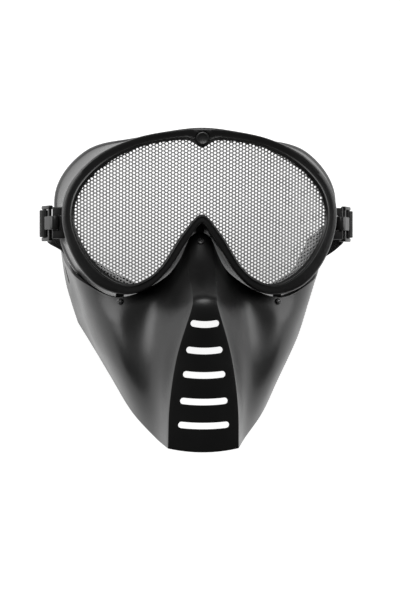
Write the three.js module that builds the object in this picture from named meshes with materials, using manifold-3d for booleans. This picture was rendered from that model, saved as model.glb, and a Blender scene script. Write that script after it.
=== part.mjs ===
// Full-face protective mask: mesh goggle, vented face guard and elastic head strap.
// Millimetres. +X is the right of the mask seen from its front, +Y its top, +Z its front.
// The mask lies face up, so z = 0 is the plane that its ear edges rest on.
import * as THREE from 'three';
import { mergeVertices } from 'three/addons/utils/BufferGeometryUtils.js';
import Module from 'manifold-3d';

const wasm = await Module();
wasm.setup();

// Driving dimensions
const clearance = 0.3;          // gap between pieces that touch
const rimHalfWidth = 86;        // goggle frame, centre to side
const rimTop = 105.3;           // top of the frame above the cheek line y = 0
const rimLift = 120;            // frame above the ear edges
const rimDepth = 12;            // frame, front to back
const lensRadius = 220;         // bend of the lens
const lensTilt = 7.4;           // degrees, top forward
const lensSheet = 1.0;          // thickness of the mesh sheet
const frontStand = 3.0;         // frame's front band above the mesh
const grooveLip = 1.4;          // rear lip of the frame's groove
const tabDrop = 4.8;            // notch at the top of the lens
const tabHalfWidth = 5.6;
const buttonRadius = 4.3;
const buttonHeight = 1.6;
const skirtWall = 2.0;
const skirtLip = 1.2;           // extra thickness of the rolled rear lip
const guardHalfWidth = 88;
const chinDrop = 92.5;          // cheek line to chin
const plateReach = 30;          // vent plate in front of the frame
const guardWall = 2.2;
const slotHeight = 4.0;
const slotSag = 0.7;
const earSlotLength = 12;
const earSlotWidth = 5;
const screwHead = 2.0;          // radius
const screwHeadHeight = 1.0;
const screwShank = 1.2;         // radius
const screwLength = 7;
const earSlotY = 0.16;          // centre of the ear slots, share of rimTop
const earSlotZ = 0.15;          // share of rimLift
const bossRadius = 3.4;
const lugY = 48.5;              // centre of the strap lugs
const lugHeight = 20;           // along y
const lugReach = 8;             // lug out from the skirt, to its edge
const lugThickness = 2.6;
const lugSetBack = 2;           // behind the frame's rear face
const lugWindow = 10;           // slot for the clip, along y
const barRadius = 1.3;          // bars of the lug and the slider
const clipWidth = 8.5;
const clipWall = 1.4;
const clipPlay = 0.6;           // of the clip's eyes on their bars
const sliderHeight = 22.5;
const sliderRail = 2.4;
const sliderRoom = 1.2;         // webbing's play between the slider's bars
const buckleLean = 27;          // degrees outwards from the rearward direction
const strapLean = 4;            // degrees inwards where the strap leaves the slider
const strapWidth = 17;
const strapThickness = 1.6;
const strapTail = 12;           // sewn end of the strap

// Goggle outline from the nose arch to the top, as shares: outer and inner edge of the frame
// (x of rimHalfWidth, y of rimTop), flare of the skirt (of rimHalfWidth), its rear edge (of rimLift)
const outline = [
  { ox: 0.000, oy: 0.446, ix: 0.000, iy: 0.500, flare: 0.045, rear: 0.80 },
  { ox: 0.079, oy: 0.371, ix: 0.135, iy: 0.391, flare: 0.045, rear: 0.78 },
  { ox: 0.242, oy: 0.171, ix: 0.293, iy: 0.196, flare: 0.045, rear: 0.70 },
  { ox: 0.378, oy: 0.070, ix: 0.402, iy: 0.120, flare: 0.036, rear: 0.62 },
  { ox: 0.533, oy: 0.032, ix: 0.521, iy: 0.095, flare: 0.030, rear: 0.56 },
  { ox: 0.743, oy: 0.082, ix: 0.688, iy: 0.163, flare: 0.030, rear: 0.52 },
  { ox: 0.909, oy: 0.239, ix: 0.828, iy: 0.296, flare: 0.030, rear: 0.50 },
  { ox: 0.999, oy: 0.475, ix: 0.910, iy: 0.475, flare: 0.038, rear: 0.50 },
  { ox: 0.953, oy: 0.665, ix: 0.871, iy: 0.631, flare: 0.085, rear: 0.52 },
  { ox: 0.762, oy: 0.836, ix: 0.708, iy: 0.778, flare: 0.098, rear: 0.58 },
  { ox: 0.488, oy: 0.938, ix: 0.458, iy: 0.886, flare: 0.035, rear: 0.66 },
  { ox: 0.233, oy: 0.981, ix: 0.219, iy: 0.926, flare: 0.005, rear: 0.71 },
  { ox: 0.000, oy: 1.000, ix: 0.000, iy: 0.933, flare: 0.000, rear: 0.73 },
];

// Frame section: across from the inner edge 0 to the outer edge 1, up from the mesh
const rimSection = [
  { across: 0.00, up: 0.10 }, { across: 0.00, up: 0.52 }, { across: 0.12, up: 0.80 },
  { across: 0.22, up: 1.06 }, { across: 0.32, up: 0.86 }, { across: 0.86, up: 1.00 },
  { across: 1.00, up: 0.55 },
];
const grooveShare = 0.42;       // lens groove, share of the frame's width
const lensSeat = 0.28;          // edge of the sheet in that groove

// Guard: curves from its lower edge to its upper edge. x is a share of guardHalfWidth.
// y is a share of rimTop above the cheek line and of chinDrop below it.
// z is a share of rimLift up to 1, and of plateReach past it.
const guardCurves = [
  { name: 'centre', points: [
    { x: 0.000, y: -1.000, z: 1.53 }, { x: 0.000, y: -0.700, z: 1.66 },
    { x: 0.000, y: -0.360, z: 1.82 }, { x: 0.000, y: -0.030, z: 1.98 },
    { x: 0.000, y: 0.025, z: 1.90 }, { x: 0.000, y: 0.190, z: 1.06 },
    { x: 0.000, y: 0.400, z: 0.892 }] },
  { name: 'crease', points: [
    { x: 0.245, y: -0.975, z: 1.47 }, { x: 0.236, y: -0.690, z: 1.58 },
    { x: 0.188, y: -0.370, z: 1.72 }, { x: 0.088, y: -0.035, z: 1.94 },
    { x: 0.083, y: 0.020, z: 1.86 }, { x: 0.092, y: 0.185, z: 1.00 },
    { x: 0.074, y: 0.372, z: 0.885 }] },
  { name: 'valley', points: [
    { x: 0.318, y: -0.925, z: 0.900 }, { x: 0.335, y: -0.620, z: 0.920 },
    { x: 0.345, y: -0.270, z: 0.920 }, { x: 0.290, y: -0.010, z: 0.895 },
    { x: 0.205, y: 0.165, z: 0.860 }] },
  { name: 'cheek', points: [
    { x: 0.474, y: -0.768, z: 0.683 }, { x: 0.560, y: -0.450, z: 0.800 },
    { x: 0.590, y: -0.160, z: 0.820 }, { x: 0.560, y: 0.016, z: 0.812 }] },
  { name: 'side', points: [
    { x: 0.626, y: -0.530, z: 0.458 }, { x: 0.735, y: -0.280, z: 0.560 },
    { x: 0.790, y: -0.060, z: 0.625 }, { x: 0.826, y: 0.108, z: 0.655 }] },
  { name: 'flank', points: [
    { x: 0.752, y: -0.330, z: 0.200 }, { x: 0.820, y: -0.150, z: 0.240 },
    { x: 0.882, y: 0.050, z: 0.290 }, { x: 0.948, y: 0.222, z: 0.330 }] },
  { name: 'ear', points: [
    { x: 0.860, y: -0.165, z: 0.000 }, { x: 0.903, y: -0.040, z: 0.000 },
    { x: 0.952, y: 0.110, z: 0.000 }, { x: 0.995, y: 0.340, z: 0.000 }] },
];
const guardRows = 16;
const guardSteps = [3, 3, 3, 3, 2, 2];

// Vent slots: height on the plate as a share of chinDrop, half length of guardHalfWidth
const slots = [
  { y: -0.152, half: 0.098 }, { y: -0.325, half: 0.125 }, { y: -0.485, half: 0.146 },
  { y: -0.660, half: 0.164 }, { y: -0.818, half: 0.176 },
];

// Head strap, centre line from the left slider to the right one. x is a share of rimHalfWidth,
// and of guardHalfWidth where it is under betweenEars; y is of rimTop, z of rimLift. The first
// and last rows are worked out from the sliders.
const betweenEars = 0.95;
const strapRoute = [
  { x: -1.085, y: 0.430, z: 0.440 }, { x: -0.990, y: 0.385, z: 0.385 },
  { x: -0.904, y: 0.320, z: 0.300 }, { x: -0.831, y: 0.235, z: 0.150 },
  { x: -0.738, y: 0.160, z: 0.025 }, { x: -0.586, y: 0.085, z: 0.007 },
  { x: -0.293, y: -0.005, z: 0.007 }, { x: 0.000, y: -0.045, z: 0.007 },
  { x: 0.293, y: -0.045, z: 0.007 }, { x: 0.567, y: -0.005, z: 0.007 },
  { x: 0.704, y: 0.045, z: 0.020 }, { x: 0.792, y: 0.115, z: 0.135 },
  { x: 0.836, y: 0.215, z: 0.280 }, { x: 0.901, y: 0.318, z: 0.398 },
  { x: 1.015, y: 0.375, z: 0.425 }, { x: 1.085, y: 0.430, z: 0.440 },
];

const degrees = Math.PI / 180;
const stations = 92;            // round the goggle
const lensColumns = 64;
const lensEnd = 0.9985;         // the sheet's first and last column, as a share of its reach
const rimMidY = rimTop * 0.513;

function material(color, roughness, metalness) {
  return new THREE.MeshStandardMaterial({ color, roughness, metalness });
}
const blackMoulding = material(0x151515, 0.38, 0);
const softBlack = material(0x1b1b1b, 0.55, 0);
const steelMesh = material(0x8c8c8c, 0.45, 0.8);
const darkScrew = material(0x101010, 0.4, 0.3);
const webbing = material(0x0d0d0d, 0.9, 0);

// Solids from closed meshes, and back
function toSolid(geometry) {
  const bare = geometry.clone();
  bare.deleteAttribute('normal');
  bare.deleteAttribute('uv');
  const merged = mergeVertices(bare, 1e-4);
  return new wasm.Manifold(new wasm.Mesh({
    numProp: 3,
    vertProperties: Float32Array.from(merged.attributes.position.array),
    triVerts: Uint32Array.from(merged.index.array),
  }));
}

function toGeometry(solid) {
  const mesh = solid.getMesh();
  const geometry = new THREE.BufferGeometry();
  geometry.setAttribute('position', new THREE.BufferAttribute(mesh.vertProperties, 3));
  geometry.setIndex(new THREE.BufferAttribute(mesh.triVerts, 1));
  geometry.computeVertexNormals();
  return geometry;
}

// Closed mesh from rows of points. Rows join end to end when closedRows is set, and each row
// closes on itself. A cap joins the first half of an end row to its second half.
function loft(rows, { closedRows = false, capped = false } = {}) {
  const width = rows[0].length;
  const positions = rows.flat().flatMap((p) => [p.x, p.y, p.z]);
  const index = [];
  const last = closedRows ? rows.length : rows.length - 1;
  for (let i = 0; i < last; i += 1) {
    const j = (i + 1) % rows.length;
    for (let a = 0; a < width; a += 1) {
      const b = (a + 1) % width;
      index.push(i * width + a, j * width + a, j * width + b);
      index.push(i * width + a, j * width + b, i * width + b);
    }
  }
  if (capped) {
    const end = (rows.length - 1) * width;
    for (let a = 0; a < width / 2 - 1; a += 1) {
      const [b, c, d] = [a + 1, width - 2 - a, width - 1 - a];
      index.push(a, b, c, a, c, d);
      index.push(end + a, end + c, end + b, end + a, end + d, end + c);
    }
  }
  return outward(positions, index);
}

// Indexed geometry turned so that its faces point out
function outward(positions, index) {
  const at = (i) => new THREE.Vector3(...positions.slice(3 * i, 3 * i + 3));
  let volume = 0;
  for (let t = 0; t < index.length; t += 3) {
    volume += at(index[t]).dot(at(index[t + 1]).cross(at(index[t + 2])));
  }
  const geometry = new THREE.BufferGeometry();
  geometry.setAttribute('position', new THREE.Float32BufferAttribute(positions, 3));
  geometry.setIndex(volume > 0 ? index : index.slice().reverse());
  geometry.computeVertexNormals();
  return geometry;
}

// Goggle outline, sampled evenly round the loop
function mirrored(pick) {
  const right = outline.map(pick);
  const left = right.slice(1, -1).reverse().map((p) => ({ ...p, x: -p.x }));
  return right.concat(left).map((p) => new THREE.Vector3(p.x, p.y, p.z ?? 0));
}
const outerCurve = new THREE.CatmullRomCurve3(
  mirrored((r) => ({ x: r.ox * rimHalfWidth, y: r.oy * rimTop })), true, 'centripetal');
const innerCurve = new THREE.CatmullRomCurve3(
  mirrored((r) => ({ x: r.ix * rimHalfWidth, y: r.iy * rimTop })), true, 'centripetal');
const skirtCurve = new THREE.CatmullRomCurve3(
  mirrored((r) => ({ x: 0, y: r.flare * rimHalfWidth, z: r.rear * rimLift })), true, 'centripetal');

function lensZ(x, y) {
  const bow = Math.sqrt(lensRadius ** 2 - x ** 2) - lensRadius;
  return rimLift + (y - rimMidY) * Math.tan(lensTilt * degrees) + bow / Math.cos(lensTilt * degrees);
}

function goggleStation(i) {
  const t = i / stations;
  const outer = outerCurve.getPoint(t);
  const inner = innerCurve.getPoint(t);
  if (inner.y > rimMidY) {
    inner.y -= tabDrop * Math.exp(-((inner.x / tabHalfWidth) ** 2));
  }
  const skirt = skirtCurve.getPoint(t);
  const tangent = outerCurve.getTangent(t);
  const normal = new THREE.Vector3(tangent.y, -tangent.x, 0);
  return { outer, inner, normal, flare: skirt.y, rear: skirt.z };
}
const goggle = Array.from({ length: stations }, (_, i) => goggleStation(i));

function acrossRim(station, across, up) {
  const p = station.inner.clone().lerp(station.outer, across);
  p.z = lensZ(p.x, p.y) + up;
  return p;
}

// Frame with the groove for the lens
function goggleRim() {
  const grooveFloor = -lensSheet - clearance;
  const section = [
    ...rimSection.map(({ across, up }) => [across, up * frontStand]),
    [1, frontStand - rimDepth], [0.62, frontStand - rimDepth], [0.5, grooveFloor - 1.6 * grooveLip],
    [0, grooveFloor - grooveLip], [0, grooveFloor], [grooveShare, grooveFloor], [grooveShare, clearance],
  ];
  const rows = goggle.map((s) => section.map(([across, up]) => acrossRim(s, across, up)));
  const body = toSolid(loft(rows, { closedRows: true }));
  return toGeometry(body.subtract(toSolid(buttonBlank(buttonRadius + clearance, clearance))));
}

const buttonY = rimTop * 0.937;
const buttonSeat = lensZ(0, buttonY) + frontStand - buttonHeight;

function buttonBlank(radius, drop) {
  const height = buttonHeight + drop + 4 * clearance;
  const blank = new THREE.CylinderGeometry(radius, radius, height, 28);
  blank.rotateX(Math.PI / 2);
  blank.translate(0, buttonY, buttonSeat - drop + height / 2);
  return blank;
}

function rimButton() {
  const crown = buttonHeight;
  const profile = [
    [0, 0], [buttonRadius, 0], [buttonRadius, crown * 0.6], [buttonRadius * 0.82, crown],
    [buttonRadius * 0.5, crown * 0.86], [0, crown * 0.8],
  ].map(([r, z]) => new THREE.Vector2(r, z));
  const geometry = new THREE.LatheGeometry(profile, 28);
  geometry.rotateX(Math.PI / 2);
  geometry.translate(0, buttonY, buttonSeat);
  return geometry;
}

// Lens: a plain curved sheet, its edge in the frame's groove
function meshLens() {
  const edge = goggle.map((s) => acrossRim(s, lensSeat, 0));
  const reach = Math.max(...edge.map((p) => p.x));
  const crossings = (x) => {
    const ys = [];
    edge.forEach((p, i) => {
      const q = edge[(i + 1) % edge.length];
      if ((p.x - x) * (q.x - x) <= 0 && p.x !== q.x) {
        ys.push(p.y + ((x - p.x) / (q.x - p.x)) * (q.y - p.y));
      }
    });
    return [Math.min(...ys), Math.max(...ys)];
  };
  const rows = [];
  for (let i = 0; i <= lensColumns; i += 1) {
    const x = lensEnd * reach * Math.sin(((i / lensColumns) * 2 - 1) * 0.5 * Math.PI);
    const [low, high] = crossings(x);
    rows.push([[low, lensSheet], [low, 0], [high, 0], [high, lensSheet]].map(([y, below]) =>
      new THREE.Vector3(x, y, lensZ(x, y) - below)));
  }
  return loft(rows, { capped: true });
}

// Guard surface
function guardPoint({ x, y, z }) {
  return new THREE.Vector3(
    x * guardHalfWidth,
    y < 0 ? y * chinDrop : y * rimTop,
    z <= 1 ? z * rimLift : rimLift + (z - 1) * plateReach,
  );
}
const guardSplines = guardCurves.map(({ points }) =>
  new THREE.CatmullRomCurve3(points.map(guardPoint), false, 'centripetal'));

// One row of the guard's outer face, from the centre to the right ear
function guardRow(v) {
  const marks = guardSplines.map((spline) => spline.getPoint(v));
  const crease = marks[1];
  const plate = new THREE.QuadraticBezierCurve3(
    marks[0], new THREE.Vector3(crease.x * 0.5, marks[0].y, marks[0].z), crease);
  const side = new THREE.CatmullRomCurve3(marks.slice(1), false, 'centripetal');
  const row = [];
  guardSteps.forEach((steps, span) => {
    for (let k = 0; k < steps; k += 1) {
      row.push(span === 0 ? plate.getPoint(k / steps)
        : side.getPoint((span - 1 + k / steps) / (marks.length - 2)));
    }
  });
  row.push(marks[marks.length - 1]);
  return row;
}

function guardGrid() {
  const rows = [];
  for (let j = 0; j <= guardRows; j += 1) {
    const right = guardRow(j / guardRows);
    const left = right.slice(1).reverse().map((p) => new THREE.Vector3(-p.x, p.y, p.z));
    rows.push(left.concat(right));
  }
  return rows;
}

function gridNormals(grid) {
  const pick = (j, i) => grid[Math.min(Math.max(j, 0), grid.length - 1)][
    Math.min(Math.max(i, 0), grid[0].length - 1)];
  return grid.map((row, j) => row.map((_, i) => {
    const across = pick(j, i + 1).clone().sub(pick(j, i - 1));
    const along = pick(j + 1, i).clone().sub(pick(j - 1, i));
    return across.cross(along).normalize();
  }));
}

const guardOuter = guardGrid();
const guardNormals = gridNormals(guardOuter);

// Shell between two distances from the guard's outer face, its upper edge moved on by past
function guardShell(above, below, past = 0) {
  const last = guardOuter.length - 1;
  const shifted = (distance) => guardOuter.map((row, j) => row.map((p, i) => {
    const q = p.clone().addScaledVector(guardNormals[j][i], distance);
    if (j === last) {
      q.addScaledVector(p.clone().sub(guardOuter[last - 1][i]).normalize(), past);
    }
    q.z = Math.max(q.z, 0);
    return q;
  }));
  const [outer, inner] = [shifted(above), shifted(-below)];
  const rows = outer[0].map((_, i) => [
    ...outer.map((row) => row[i]), ...inner.map((row) => row[i]).reverse()]);
  return toSolid(loft(rows, { capped: true }));
}

// Point and normal of the guard's outer face at a place seen from the front
function guardFace(x, y) {
  for (let j = 0; j < guardRows; j += 1) {
    for (let i = 0; i < guardOuter[0].length - 1; i += 1) {
      const [near, far] = [guardOuter[j], guardOuter[j + 1]];
      const corners = [near[i], near[i + 1], far[i + 1], far[i]];
      for (const [a, b, c] of [[0, 1, 2], [0, 2, 3]]) {
        const flat = [a, b, c].map((k) => new THREE.Vector3(corners[k].x, corners[k].y, 0));
        const facet = new THREE.Triangle(...flat);
        const share = facet.getArea() > 1e-6
          ? facet.getBarycoord(new THREE.Vector3(x, y, 0), new THREE.Vector3()) : null;
        if (share && Math.min(share.x, share.y, share.z) >= -1e-6) {
          const z = corners[a].z * share.x + corners[b].z * share.y + corners[c].z * share.z;
          const normal = new THREE.Triangle(corners[a], corners[b], corners[c])
            .getNormal(new THREE.Vector3());
          return { point: new THREE.Vector3(x, y, z), normal };
        }
      }
    }
  }
  throw new Error(`no guard surface at ${x}, ${y}`);
}

// Turned profile along an axis through a point of the guard
function turned(profile, { point, normal }, sides = 14) {
  const geometry = new THREE.LatheGeometry(profile.map(([r, z]) => new THREE.Vector2(r, z)), sides);
  const turn = new THREE.Quaternion().setFromUnitVectors(new THREE.Vector3(0, 1, 0), normal);
  geometry.applyQuaternion(turn);
  geometry.translate(point.x, point.y, point.z);
  return geometry;
}

const screws = [
  { name: 'nose_screw', x: 0, y: 0.344 * rimTop },
  { name: 'cheek_screw_left', x: -0.577 * rimHalfWidth, y: -0.009 * rimTop },
  { name: 'cheek_screw_right', x: 0.577 * rimHalfWidth, y: -0.009 * rimTop },
].map((screw) => ({ ...screw, seat: guardFace(screw.x, screw.y) }));
const bossTop = -guardWall - clearance;
const bossLength = screwLength + bossTop + 2;

function screwBody(seat) {
  return turned([
    [0, -screwLength], [screwShank, -screwLength], [screwShank, clearance], [screwHead, clearance],
    [screwHead, clearance + 0.6 * screwHeadHeight], [0.7 * screwHead, clearance + screwHeadHeight],
    [0.35 * screwHead, clearance + screwHeadHeight], [0, clearance + 0.5 * screwHeadHeight],
  ], seat);
}

function screwHole(seat) {
  const radius = screwShank + clearance;
  const [low, high] = [-screwLength - clearance, guardWall];
  return toSolid(turned([[0, low], [radius, low], [radius, high], [0, high]], seat));
}

// Slot with round ends, its middle sagging towards the chin, cut along the mask's depth
function slotBlank({ y, half }) {
  const r = slotHeight / 2;
  const end = half * guardHalfWidth - r;
  const shape = new THREE.Shape();
  shape.moveTo(-end, r);
  shape.quadraticCurveTo(0, r - 2 * slotSag, end, r);
  shape.absarc(end, 0, r, Math.PI / 2, -Math.PI / 2, true);
  shape.quadraticCurveTo(0, -r - 2 * slotSag, -end, -r);
  shape.absarc(-end, 0, r, -Math.PI / 2, Math.PI / 2, true);
  const depth = rimLift;
  const blank = new THREE.ExtrudeGeometry(shape, { depth, bevelEnabled: false, curveSegments: 8 });
  blank.translate(0, y * chinDrop, rimLift + plateReach - depth / 2);
  return toSolid(blank);
}

// Oblong hole through both ears, cut across the mask
function earSlotBlank() {
  const r = earSlotWidth / 2;
  const end = earSlotLength / 2 - r;
  const shape = new THREE.Shape();
  shape.absarc(end, 0, r, -Math.PI / 2, Math.PI / 2, false);
  shape.absarc(-end, 0, r, Math.PI / 2, 1.5 * Math.PI, false);
  const depth = 3 * guardHalfWidth;
  const blank = new THREE.ExtrudeGeometry(shape, { depth, bevelEnabled: false, curveSegments: 6 });
  blank.rotateZ(Math.PI / 2);
  blank.translate(0, 0, -depth / 2);
  blank.rotateY(Math.PI / 2);
  blank.translate(0, earSlotY * rimTop, earSlotZ * rimLift);
  return toSolid(blank);
}

function faceGuard() {
  let body = guardShell(0, guardWall);
  for (const slot of slots) {
    body = body.subtract(slotBlank(slot));
  }
  for (const { seat } of screws) {
    body = body.subtract(screwHole(seat));
  }
  return toGeometry(body.subtract(earSlotBlank()));
}

// Skirt: depth share from the frame to the rear edge, and how much of the flare and lip it has
const skirtSection = [
  { depth: 0.00, flare: 0.00, lip: 0 }, { depth: 0.45, flare: 0.30, lip: 0 },
  { depth: 0.88, flare: 0.88, lip: 0 },
  { depth: 0.93, flare: 0.94, lip: 1 }, { depth: 1.00, flare: 1.00, lip: 0.8 },
];

function skirtPoint(station, { depth, flare, lip }, inset) {
  const front = acrossRim(station, 1, frontStand - rimDepth - clearance).z;
  const out = flare * station.flare + lip * skirtLip - clearance - inset;
  const p = station.outer.clone().addScaledVector(station.normal, out);
  p.z = THREE.MathUtils.lerp(front, station.rear, depth);
  return p;
}

function skirtWallSolid() {
  const rows = goggle.map((s) => [
    ...skirtSection.map((row) => skirtPoint(s, row, 0)),
    ...skirtSection.slice().reverse().map((row) => skirtPoint(s, { ...row, lip: 0 }, skirtWall)),
  ]);
  return toSolid(loft(rows, { closedRows: true }));
}

function block(x, y, z, [cx, cy, cz]) {
  const box = new THREE.BoxGeometry(x, y, z);
  box.translate(cx, cy, cz);
  return box;
}

// Boss under a guard screw, with a web to the nearest part of the skirt
function screwBoss({ x, seat }) {
  const bottom = bossTop - bossLength;
  const profile = [[0, bottom], [bossRadius, bottom], [bossRadius, bossTop], [0, bossTop]];
  const post = toSolid(turned(profile, seat));
  const foot = seat.point.clone().addScaledVector(seat.normal, bottom + 0.15 * bossLength);
  const wallY = Math.min(...goggle.filter((s) => Math.abs(s.outer.x - x) < bossRadius)
    .filter((s) => s.outer.y < rimMidY).map((s) => s.outer.y)) + skirtWall;
  const span = wallY - foot.y;
  const web = block(1.5 * bossRadius, span, 0.3 * bossLength, [x, foot.y + span / 2, foot.z]);
  return post.add(toSolid(web));
}

// Strap lug: a plate on each side of the skirt, with a slot for the clip
const lugZ = lensZ(rimHalfWidth, lugY) + frontStand - rimDepth - lugThickness - lugSetBack;
const lugEdge = rimHalfWidth + lugReach - skirtWall;
const lugBarX = lugEdge - barRadius;

function lug(side) {
  const start = rimHalfWidth - skirtWall;
  const plate = block(lugEdge - start, lugHeight, lugThickness,
    [side * (lugEdge + start) / 2, lugY, lugZ]);
  const windowEnd = lugBarX - barRadius;
  const windowStart = start + skirtWall + 0.5;
  const cut = block(windowEnd - windowStart, lugWindow, 2 * lugThickness,
    [side * (windowEnd + windowStart) / 2, lugY, lugZ]);
  return toSolid(plate).subtract(toSolid(cut));
}

function goggleSkirt() {
  let body = skirtWallSolid();
  for (const screw of screws) {
    body = body.add(screwBoss(screw));
  }
  body = body.subtract(guardShell(screwHead, guardWall + clearance, clearance));
  for (const { seat } of screws) {
    body = body.subtract(screwHole(seat));
  }
  return toGeometry(body.add(lug(1)).add(lug(-1)));
}

// Buckle, worked out on the right side and mirrored for the left
const eyeRadius = barRadius + clipPlay;
const eyeOuter = eyeRadius + clipWall;
const clipPitch = 2 * eyeOuter;              // lug bar to the slider's front bar
const sliderPitch = eyeOuter + strapThickness + barRadius + sliderRoom;
const lean = buckleLean * degrees;
const rearward = new THREE.Vector3(Math.sin(lean), 0, -Math.cos(lean));
const lugPivot = new THREE.Vector3(lugBarX, lugY, lugZ);
const frontPivot = lugPivot.clone().addScaledVector(rearward, clipPitch);
const rearPivot = frontPivot.clone().addScaledVector(rearward, sliderPitch);

// Stands a piece made along its own x on the buckle's slanted line, y staying y
function onBuckle(geometry, pivot, side) {
  geometry.rotateY(Math.atan2(Math.cos(lean), Math.sin(lean)));
  geometry.translate(pivot.x, pivot.y, pivot.z);
  if (side > 0) {
    return toSolid(geometry);
  }
  return toSolid(geometry).mirror([1, 0, 0]);
}

function bar(radius, length, along) {
  const rod = new THREE.CylinderGeometry(radius, radius, length, 16);
  rod.translate(along, 0, 0);
  return rod;
}

// Clip: two eyes in one plate, the front one open where it snaps on the lug
function strapClip(side) {
  const shape = new THREE.Shape();
  shape.absarc(0, 0, eyeOuter, Math.PI / 2, 1.5 * Math.PI, false);
  shape.absarc(clipPitch, 0, eyeOuter, -Math.PI / 2, Math.PI / 2, false);
  for (const x of [0, clipPitch]) {
    shape.holes.push(new THREE.Path().absarc(x, 0, eyeRadius, 0, 2 * Math.PI, true));
  }
  const plate = new THREE.ExtrudeGeometry(
    shape, { depth: clipWidth, bevelEnabled: false, curveSegments: 8 });
  plate.translate(0, 0, -clipWidth / 2);
  plate.rotateX(Math.PI / 2);
  const snapPlace = [-0.75 * eyeOuter, 0, -0.6 * eyeOuter];
  const snap = block(1.2 * eyeOuter, 2 * clipWidth, 1.1 * barRadius, snapPlace);
  return toGeometry(onBuckle(plate, lugPivot, side).subtract(onBuckle(snap, lugPivot, side)));
}

// Slider: two bars between two rails
function strapSlider(side) {
  const reach = sliderHeight / 2 - sliderRail / 2;
  let body = onBuckle(bar(barRadius, 2 * reach, 0), frontPivot, side)
    .add(onBuckle(bar(barRadius, 2 * reach, sliderPitch), frontPivot, side));
  for (const end of [-1, 1]) {
    const rail = block(sliderPitch + 2.6 * barRadius, sliderRail, 2.4 * barRadius,
      [sliderPitch / 2, end * reach, 0]);
    body = body.add(onBuckle(rail, frontPivot, side));
  }
  return toGeometry(body);
}

// Strap: its sewn end goes round the slider's rear bar and back along itself
function strapEnd(side) {
  const tilt = strapLean * degrees;
  const away = new THREE.Vector3(-Math.sin(tilt), 0, -Math.cos(tilt));
  const out = new THREE.Vector3(Math.cos(tilt), 0, -Math.sin(tilt));
  const turn = barRadius + clearance + strapThickness / 2;
  const flat = (strapThickness + clearance) / 2;
  const local = [[strapTail, flat], [0.6 * strapTail, flat], [0.3 * strapTail, flat + 0.5 * turn]];
  for (let k = 0; k <= 8; k += 1) {
    const angle = (0.42 + 1.16 * (k / 8)) * Math.PI;
    local.push([turn * Math.cos(angle), turn * Math.sin(angle)]);
  }
  local.push([0.3 * strapTail, -flat - 0.5 * turn], [0.6 * strapTail, -flat], [strapTail, -flat]);
  return local.map(([a, b]) => {
    const p = rearPivot.clone().addScaledVector(away, a).addScaledVector(out, b);
    return new THREE.Vector3(side * p.x, p.y, p.z);
  });
}

function strap() {
  const middle = strapRoute.map(({ x, y, z }) => {
    const half = Math.abs(x) < betweenEars ? guardHalfWidth : rimHalfWidth;
    return new THREE.Vector3(x * half, y * rimTop, Math.max(z * rimLift, strapThickness / 2));
  });
  const run = new THREE.CatmullRomCurve3(
    [strapEnd(-1).at(-1), ...middle, strapEnd(1).at(-1)], false, 'centripetal');
  const route = [...strapEnd(-1), ...run.getSpacedPoints(38).slice(1, -1), ...strapEnd(1).reverse()];
  const rows = route.map((p, i) => {
    const next = route[Math.min(i + 1, route.length - 1)];
    const before = route[Math.max(i - 1, 0)];
    const tangent = next.clone().sub(before).normalize();
    const width = new THREE.Vector3(0, 1, 0);
    width.addScaledVector(tangent, -width.dot(tangent)).normalize();
    const face = tangent.clone().cross(width);
    const corners = [[-1, -1], [1, -1], [1, 1], [-1, 1]].map(([w, f]) => p.clone()
      .addScaledVector(width, (w * strapWidth) / 2).addScaledVector(face, (f * strapThickness) / 2));
    const lift = Math.max(0, ...corners.map((c) => -c.z));
    return corners.map((c) => c.setZ(c.z + lift));
  });
  return loft(rows, { capped: true });
}

const group = new THREE.Group();

function addPiece(name, geometry, look) {
  const piece = new THREE.Mesh(geometry, look);
  piece.name = name;
  group.add(piece);
}

addPiece('goggle_rim', goggleRim(), blackMoulding);
addPiece('rim_button', rimButton(), blackMoulding);
addPiece('mesh_lens', meshLens(), steelMesh);
addPiece('goggle_skirt', goggleSkirt(), softBlack);
addPiece('face_guard', faceGuard(), blackMoulding);
for (const { name, seat } of screws) {
  addPiece(name, screwBody(seat), darkScrew);
}
for (const [word, side] of [['left', -1], ['right', 1]]) {
  addPiece(`strap_clip_${word}`, strapClip(side), blackMoulding);
  addPiece(`strap_slider_${word}`, strapSlider(side), blackMoulding);
}
addPiece('strap', strap(), webbing);

// The origin is the middle of the part's footprint, on the plane it rests on
const box = new THREE.Box3().setFromObject(group);
const middle = box.getCenter(new THREE.Vector3());
group.position.set(-middle.x, -middle.y, -box.min.z);

export default group;
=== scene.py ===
"""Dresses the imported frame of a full-face mask that has a mesh goggle and a vented guard."""
import math
from itertools import chain

import bpy
from bpy.props import FloatProperty, FloatVectorProperty, IntProperty, PointerProperty
from mathutils import Matrix, Vector


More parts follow.
